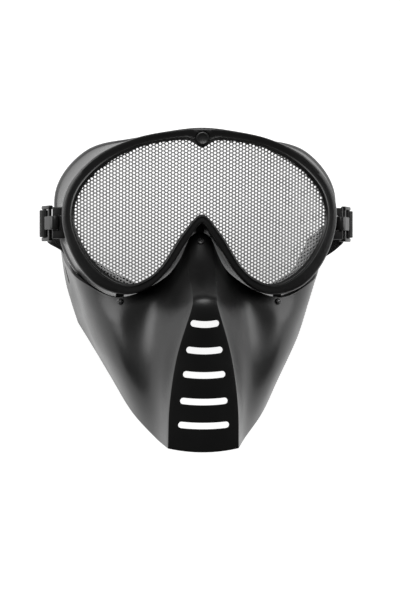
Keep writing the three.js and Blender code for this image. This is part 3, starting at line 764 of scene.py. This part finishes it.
class MASK_OT_mesh(bpy.types.Operator):
    """Bent sheet of steel with six-sided holes, its edge in the frame's groove"""
    bl_idname = "mask.mesh"
    bl_label = "Perforated mesh"

    def execute(self, context):
        s = sizes()
        cell = s.column_pitch * 2 / 3
        sheet = disc("mesh", 6, cell)
        for k, vertex in enumerate(sheet.data.vertices):
            tall = s.hole_pitch / 2 * (0, 1, 1, 0, -1, -1)[k]
            vertex.co = (cell * (1, 0.5, -0.5, -1, -0.5, 0.5)[k], tall, 0)
        edit_all(sheet)
        bpy.ops.mesh.inset(thickness=(1 - s.hole_share) * s.hole_pitch / 2)
        bpy.ops.mesh.delete(type="FACE")
        bpy.ops.mesh.select_all(action="SELECT")
        bpy.ops.mesh.duplicate_move(TRANSFORM_OT_translate={
            "value": (s.column_pitch, s.hole_pitch / 2, 0)})
        edit_done()
        wide = int(s.rim_half_width / s.column_pitch) + 1
        high = int(s.rim_top / s.hole_pitch) + 1
        for count, offset in ((wide, (2 * s.column_pitch, 0, 0)),
                              (high, (0, s.hole_pitch, 0))):
            apply(sheet, "ARRAY", count=count, use_relative_offset=False,
                  use_constant_offset=True, constant_offset_displace=offset,
                  use_merge_vertices=True, merge_threshold=0.02 * MM)
        sheet.data.transform(Matrix.Translation((-wide * s.column_pitch, 0, 0)))
        self.trim(sheet)
        for vertex in sheet.data.vertices:
            vertex.co.z = mesh_z(vertex.co.x, vertex.co.y)
        edit_all(sheet)
        edit_done(outward=True)
        if sheet.data.polygons[0].normal.z < 0:
            sheet.data.flip_normals()
        apply(sheet, "SOLIDIFY", thickness=s.sheet, offset=-1)
        fit(sheet, "mesh_lens", perforated_steel(), 20)
        return {"FINISHED"}

    def trim(self, sheet):
        """Clears away what lies past the edge that sits in the groove."""
        s = sizes()
        edge = [across_rim(station, 0.25, 0) for station in goggle_stations(s.stations)]
        spans = list(zip(edge, edge[1:] + edge[:1]))
        edit_all(sheet)
        bpy.ops.mesh.select_all(action="DESELECT")
        edit_done()
        inside = {}
        for vertex in sheet.data.vertices:
            x, y = vertex.co.x, vertex.co.y
            passed = [a.x + (y - a.y) * (b.x - a.x) / (b.y - a.y) > x
                      for a, b in spans if (a.y > y) != (b.y > y)]
            inside[vertex.index] = sum(passed) % 2 == 1
        for face in sheet.data.polygons:
            face.select = not all(inside[k] for k in face.vertices)
        bpy.ops.object.mode_set(mode="EDIT")
        bpy.ops.mesh.select_mode(type="FACE")
        bpy.ops.mesh.delete(type="FACE")
        bpy.ops.mesh.select_mode(type="VERT")
        edit_done()


def skirt_point(station, row, inset):
    """Point of the skirt's wall, its outside at inset 0."""
    s = sizes()
    depth, flare, lip = row
    outer, _, normal, spread, rear = station
    out = flare * spread + lip * s.skirt_lip - s.clearance - inset
    front = across_rim(station, 1, s.rim_stand - s.rim_depth - s.clearance).z
    place = outer + normal * out
    place.z = front + (rear - front) * depth
    return place


def guard_shell(name, grid, above, below, past=0.0):
    """Shell between two distances from the guard's face, its upper edge moved on by past."""
    normals = grid_normals(grid)
    onward = [(p - q).normalized() * past for p, q in zip(grid[-1], grid[-2])]

    def layer(distance):
        rows = [[p + n * distance for p, n in zip(row, line)]
                for row, line in zip(grid, normals)]
        rows[-1] = [p + step for p, step in zip(rows[-1], onward)]
        return [[Vector((p.x, p.y, max(p.z, 0))) for p in row] for row in rows]

    outer, inner = layer(above), layer(-below)
    columns = [[row[k] for row in outer] + [row[k] for row in reversed(inner)]
               for k in range(len(grid[0]))]
    return lofted(name, columns, ends=True)


def lug_place():
    """Outer edge, bar and height over the floor of the skirt's strap lugs."""
    s = sizes()
    edge = s.rim_half_width + s.lug_reach - s.skirt_wall
    z = mesh_z(s.rim_half_width, lug_y()) + s.rim_stand - s.rim_depth - s.lug_thickness
    return edge, edge - s.bar_radius, z - s.lug_set_back


def lug_y():
    """How far up the mask the strap lugs are."""
    return LUG_UP * sizes().rim_top


class MASK_OT_skirt(bpy.types.Operator):
    """Soft skirt behind the frame, with its rear lip, strap lugs and screw bosses"""
    bl_idname = "mask.skirt"
    bl_label = "Goggle skirt"

    def execute(self, context):
        s = sizes()
        stations = goggle_stations(s.stations)
        rows = [[skirt_point(station, row, 0) for row in SKIRT_SECTION]
                + [skirt_point(station, (row[0], row[1], 0), s.skirt_wall)
                   for row in reversed(SKIRT_SECTION)] for station in stations]
        skirt = lofted("skirt", rows, closed_rows=True)
        rounded(skirt, 0.3 * MM)
        grid = guard_grid()
        for _, x, y in screw_places():
            carve(skirt, self.boss(grid, stations, x, y), "UNION")
        carve(skirt, guard_shell("keep_out", grid, s.screw_head, s.guard_wall + s.clearance,
                                 s.clearance))
        for _, x, y in screw_places():
            carve(skirt, screw_hole(grid, x, y))
        lug = self.lug()
        carve(skirt, copied(lug, "other_lug", MIRROR), "UNION")
        carve(skirt, lug, "UNION")
        fit(skirt, "goggle_skirt", soft_plastic())
        return {"FINISHED"}

    def boss(self, grid, stations, x, y):
        """Post under a guard screw, with a web to the nearest part of the skirt."""
        s = sizes()
        point, normal = guard_seat(grid, x, y)
        top = -s.guard_wall - s.clearance
        tall = s.screw_length + top + s.boss_end
        post = turned("boss", [(s.boss_radius, top - tall), (s.boss_radius, top)], 32)
        turn_to(post, point, normal)
        foot = point + normal * (top - 0.85 * tall)
        wall = min(p[0].y for p in stations
                   if abs(p[0].x - x) < s.boss_radius and p[0].y < s.rim_top * RIM_MIDDLE)
        span = wall + s.skirt_wall - foot.y
        web = block("web", (1.5 * s.boss_radius, span, 0.3 * tall),
                    (x, foot.y + span / 2, foot.z))
        carve(post, web, "UNION")
        return post

    def lug(self):
        """Plate on the right side of the skirt, with the opening that the clip goes in."""
        s = sizes()
        edge, bar_x, z = lug_place()
        start = s.rim_half_width - s.skirt_wall
        plate = block("lug", (edge - start, s.lug_height, s.lug_thickness),
                      ((edge + start) / 2, lug_y(), z))
        rounded(plate, 0.5 * MM, 3)
        low, high = start + s.skirt_wall + 0.5 * MM, bar_x - s.bar_radius
        carve(plate, block("window", (high - low, s.lug_window, 2 * s.lug_thickness),
                           ((high + low) / 2, lug_y(), z)))
        return plate


def screw_hole(grid, x, y):
    """Tool for the hole of a guard screw."""
    s = sizes()
    radius = s.screw_shank + s.clearance
    tool = turned("hole", [(radius, -s.screw_length - s.clearance), (radius, s.guard_wall)], 24)
    turn_to(tool, *guard_seat(grid, x, y))
    return tool


class MASK_OT_guard(bpy.types.Operator):
    """Moulded guard for nose, cheeks and jaw, with its vent and ear slots"""
    bl_idname = "mask.guard"
    bl_label = "Face guard"

    def execute(self, context):
        s = sizes()
        grid = guard_grid()
        guard = guard_shell("guard", grid, 0, s.guard_wall)
        rounded(guard, 0.5 * MM, 3, 38)
        for y, half in SLOTS:
            radius = s.slot_height / 2
            outline = stadium(half * s.guard_half_width - radius, radius, s.slot_sag)
            carve(guard, prism("slot", outline, s.rim_lift / 2,
                               (0, y * s.chin_drop, s.rim_lift + s.plate_reach - s.rim_lift / 4)))
        for _, x, y in screw_places():
            carve(guard, screw_hole(grid, x, y))
        radius = s.ear_slot_width / 2
        slot = prism("ear_slot", stadium(s.ear_slot_length / 2 - radius, radius),
                     3 * s.guard_half_width)
        slot.data.transform(
            Matrix.Translation((0, EAR_SLOT_UP * s.rim_top, EAR_SLOT_LIFT * s.rim_lift))
            @ Matrix.Rotation(math.radians(90), 4, "Y")
            @ Matrix.Rotation(math.radians(90), 4, "Z"))
        carve(guard, slot)
        fit(guard, "face_guard", moulded_plastic())
        return {"FINISHED"}


class MASK_OT_fasteners(bpy.types.Operator):
    """Dished button on the frame and three cross-head screws in the guard"""
    bl_idname = "mask.fasteners"
    bl_label = "Button and screws"

    def execute(self, context):
        s = sizes()
        seat, y = button_seat()
        r, crown = s.button_radius, s.button_height
        button = turned("button", [
            (r, 0), (r, 0.6 * crown), (0.95 * r, 0.86 * crown), (0.84 * r, crown),
            (0.72 * r, 0.98 * crown), (0.60 * r, 0.88 * crown), (0.30 * r, 0.82 * crown),
            (0.04 * r, 0.80 * crown)], 64)
        button.data.transform(Matrix.Translation((0, y, seat)))
        fit(button, "rim_button", moulded_plastic())
        grid, steel = guard_grid(), dark_steel()
        r, tall, lift = s.screw_head, s.screw_head_height, s.clearance
        for node, x, y in screw_places():
            screw = turned("screw", [
                (0.5 * s.screw_shank, -s.screw_length),
                (s.screw_shank, s.screw_tip - s.screw_length),
                (s.screw_shank, lift), (r, lift), (r, lift + 0.45 * tall),
                (0.9 * r, lift + 0.75 * tall), (0.7 * r, lift + 0.93 * tall),
                (0.35 * r, lift + tall)])
            for size in ((1.3 * r, 0.28 * r, tall), (0.28 * r, 1.3 * r, tall)):
                carve(screw, block("cross", size, (0, 0, lift + 0.95 * tall)))
            turn_to(screw, *guard_seat(grid, x, y))
            fit(screw, node, steel)
        return {"FINISHED"}


def clip_eye():
    """Radius of a clip's eyes, and of the wall round them."""
    s = sizes()
    eye = s.bar_radius + 2 * s.clearance
    return eye, eye + s.clip_wall


def slider_pitch():
    """Distance between a slider's bars."""
    s = sizes()
    return clip_eye()[1] + s.strap_thickness + s.bar_radius + s.slider_room


def pivots():
    """Middle of the lug's bar, of the slider's front bar and of its rear bar, on the right."""
    lean = sizes().buckle_lean
    _, bar_x, z = lug_place()
    rearward = Vector((math.sin(lean), 0, -math.cos(lean)))
    lug = Vector((bar_x, lug_y(), z))
    front = lug + rearward * 2 * clip_eye()[1]
    return lug, front, front + rearward * slider_pitch()


class MASK_OT_buckles(bpy.types.Operator):
    """Clips that snap on the lugs, and the slider frames that hold the webbing"""
    bl_idname = "mask.buckles"
    bl_label = "Clips and sliders"

    def execute(self, context):
        lug, front, _ = pivots()
        look = moulded_plastic()
        for maker, node, pivot in ((self.clip, "strap_clip", lug),
                                   (self.slider, "strap_slider", front)):
            piece = maker()
            angle = math.radians(90) - sizes().buckle_lean
            piece.data.transform(Matrix.Translation(pivot) @ Matrix.Rotation(angle, 4, "Y"))
            twin = copied(piece, f"{node}_twin", MIRROR)
            fit(piece, f"{node}_right", look)
            fit(twin, f"{node}_left", look)
        return {"FINISHED"}

    def clip(self):
        """Plate with two eyes, one open where it snaps on the lug."""
        s = sizes()
        eye, outer = clip_eye()
        shape = stadium(outer, outer)
        plate = prism("clip", [(x + outer, y) for x, y in shape], s.clip_width)
        rounded(plate, 0.5 * MM, 3, 50)
        plate.data.transform(UPRIGHT)
        for x in (0, 2 * outer):
            hole = turned("eye", [(eye, -s.clip_width), (eye, s.clip_width)])
            hole.data.transform(Matrix.Translation((x, 0, 0)) @ UPRIGHT)
            carve(plate, hole)
        carve(plate, block("snap", (1.2 * outer, 2 * s.clip_width, 1.1 * s.bar_radius),
                           (-0.75 * outer, 0, -0.6 * outer)))
        return plate

    def slider(self):
        """Two round bars between two rounded rails."""
        s = sizes()
        pitch, r = slider_pitch(), s.bar_radius
        reach = (s.slider_height - s.slider_rail) / 2
        body = None
        for end in (-1, 1):
            rail = block("slider", (pitch + 2.6 * r, s.slider_rail, 2.4 * r),
                         (pitch / 2, end * reach, 0))
            rounded(rail, 0.6 * MM, 3)
            if body:
                carve(body, rail, "UNION")
            else:
                body = rail
        for x in (0, pitch):
            rod = turned("bar", [(r, -reach), (r, reach)], 32)
            rod.data.transform(Matrix.Translation((x, 0, 0)) @ UPRIGHT)
            carve(body, rod, "UNION")
        return body


def strap_end(side):
    """The webbing's sewn end, round the slider's rear bar and back along itself."""
    s = sizes()
    tilt, tail = math.radians(4), s.strap_tail
    away = Vector((-math.sin(tilt), 0, -math.cos(tilt)))
    out = Vector((math.cos(tilt), 0, -math.sin(tilt)))
    turn = s.bar_radius + s.clearance + s.strap_thickness / 2
    flat = (s.strap_thickness + s.clearance) / 2
    there = [(tail, flat), (0.8 * tail, flat), (0.6 * tail, flat + 0.08 * turn),
             (0.45 * tail, flat + 0.25 * turn), (0.3 * tail, flat + 0.5 * turn)]
    angles = [(0.42 + 1.16 * k / 16) * math.pi for k in range(17)]
    way = there + [(turn * math.cos(angle), turn * math.sin(angle)) for angle in angles]
    way += [(a, -b) for a, b in reversed(there)]
    rear = pivots()[2]
    places = [rear + away * a + out * b for a, b in way]
    return [Vector((side * p.x, p.y, p.z)) for p in places]


class MASK_OT_strap(bpy.types.Operator):
    """One length of elastic webbing from slider to slider"""
    bl_idname = "mask.strap"
    bl_label = "Head strap"

    def execute(self, context):
        s = sizes()
        thick = s.strap_thickness
        middle = []
        for x, y, z in STRAP_WAY:
            half = s.guard_half_width if abs(x) < BETWEEN_EARS else s.rim_half_width
            middle.append(Vector((x * half, y * s.rim_top, max(z * s.rim_lift, thick / 2))))
        left, right = strap_end(-1), strap_end(1)
        run = evenly([left[-1], *middle, right[-1]], 160)
        route = left + run[1:-1] + right[::-1]
        rows, gone = [], [0.0]
        for k, p in enumerate(route):
            onward = route[min(k + 1, len(route) - 1)]
            tangent = (onward - route[max(k - 1, 0)]).normalized()
            width = Vector((0, 1, 0))
            width = (width - tangent * width.dot(tangent)).normalized()
            face = tangent.cross(width)
            low = abs(width.z) * s.strap_width / 2 + abs(face.z) * thick / 2
            lifted = p + Vector((0, 0, max(0, low - p.z)))
            rows.append([lifted + width * s.strap_width * (j / 8 - 0.5) for j in range(9)])
            gone.append(gone[-1] + (onward - p).length)
        strap = lofted("strap", rows, closed_row=False)
        for loop, corner in zip(strap.data.uv_layers[0].data, strap.data.loops):
            across, up = loop.uv
            row = round(up * (len(rows) - 1))
            loop.uv = ((across - 0.5) * s.strap_width, gone[row])
        apply(strap, "SOLIDIFY", thickness=thick, offset=0, use_even_offset=True)
        rounded(strap, 0.35 * MM, 2, 50)
        fit(strap, "strap", ribbed_webbing(), 40)
        return {"FINISHED"}


class MASK_OT_stage(bpy.types.Operator):
    """Pale floor, soft studio lights and the camera"""
    bl_idname = "mask.stage"
    bl_label = "Stage"

    def execute(self, context):
        floor = primitive(bpy.ops.mesh.primitive_plane_add, "floor", size=FLOOR_SIDE)
        pale = Finish("pale floor", base_color=finishes().floor, roughness=0.9)
        pale.set("Emission Color", (1, 1, 1))
        pale.set("Emission Strength", FLOOR_GLOW)
        floor.data.materials.append(pale.material)
        world = bpy.data.worlds.new("studio")
        world.use_nodes = True
        backdrop = next(n for n in world.node_tree.nodes if n.type == "BACKGROUND")
        backdrop.inputs["Color"].default_value = (1, 1, 1, 1)
        backdrop.inputs["Strength"].default_value = STUDIO_GLOW
        context.scene.world = world
        context.scene.view_settings.view_transform = "Standard"
        for name, place, side, power in LIGHTS:
            bpy.ops.object.light_add(type="AREA", location=place)
            lamp = bpy.context.object
            lamp.name = name
            lamp.data.shape = "SQUARE"
            lamp.data.size = side
            lamp.data.energy = power
            aim = (LIGHTS_AIM - Vector(place)).to_track_quat("-Z", "Y")
            lamp.rotation_euler = aim.to_euler()
        self.camera(context)
        return {"FINISHED"}

    def camera(self, context):
        """A long lens looking down on the mask, from a little to the left of its middle."""
        target = Vector((CAMERA_ASIDE, cad_low.y + sizes().chin_drop, sizes().rim_lift))
        back = Vector((-math.sin(CAMERA_YAW), 0, math.cos(CAMERA_YAW)))
        bpy.ops.object.camera_add(location=target + CAMERA_AWAY * back,
                                  rotation=(0, -CAMERA_YAW, 0))
        camera = bpy.context.object
        camera.data.lens = CAMERA_LENS
        camera.data.sensor_width = CAMERA_SENSOR
        context.scene.camera = camera


class MASK_PT_mask(bpy.types.Panel):
    """Sizes, colours and pieces of the mask"""
    bl_idname = "MASK_PT_mask"
    bl_label = "Mask"
    bl_space_type = "VIEW_3D"
    bl_region_type = "UI"
    bl_category = "Mask"

    def draw(self, context):
        for piece in PIECES:
            self.layout.operator(piece.bl_idname)
        for group in (context.scene.mask_sizes, context.scene.mask_finishes):
            box = self.layout.box()
            for key in group.bl_rna.properties.keys():
                if key not in {"rna_type", "name"}:
                    box.prop(group, key)


PIECES = (MASK_OT_stage, MASK_OT_rim, MASK_OT_mesh, MASK_OT_skirt, MASK_OT_guard,
          MASK_OT_fasteners, MASK_OT_buckles, MASK_OT_strap)
CLASSES = (MaskSizes, MaskFinishes, *PIECES, MASK_PT_mask)


def register():
    for one in CLASSES:
        bpy.utils.register_class(one)
    bpy.types.Scene.mask_sizes = PointerProperty(type=MaskSizes)
    bpy.types.Scene.mask_finishes = PointerProperty(type=MaskFinishes)


def unregister():
    del bpy.types.Scene.mask_finishes
    del bpy.types.Scene.mask_sizes
    for one in reversed(CLASSES):
        bpy.utils.unregister_class(one)


def main():
    register()
    for piece in PIECES:
        group, name = piece.bl_idname.split(".")
        if getattr(getattr(bpy.ops, group), name)() != {"FINISHED"}:
            raise RuntimeError(f"{piece.bl_label} was not made")


if __name__ == "__main__":
    main()
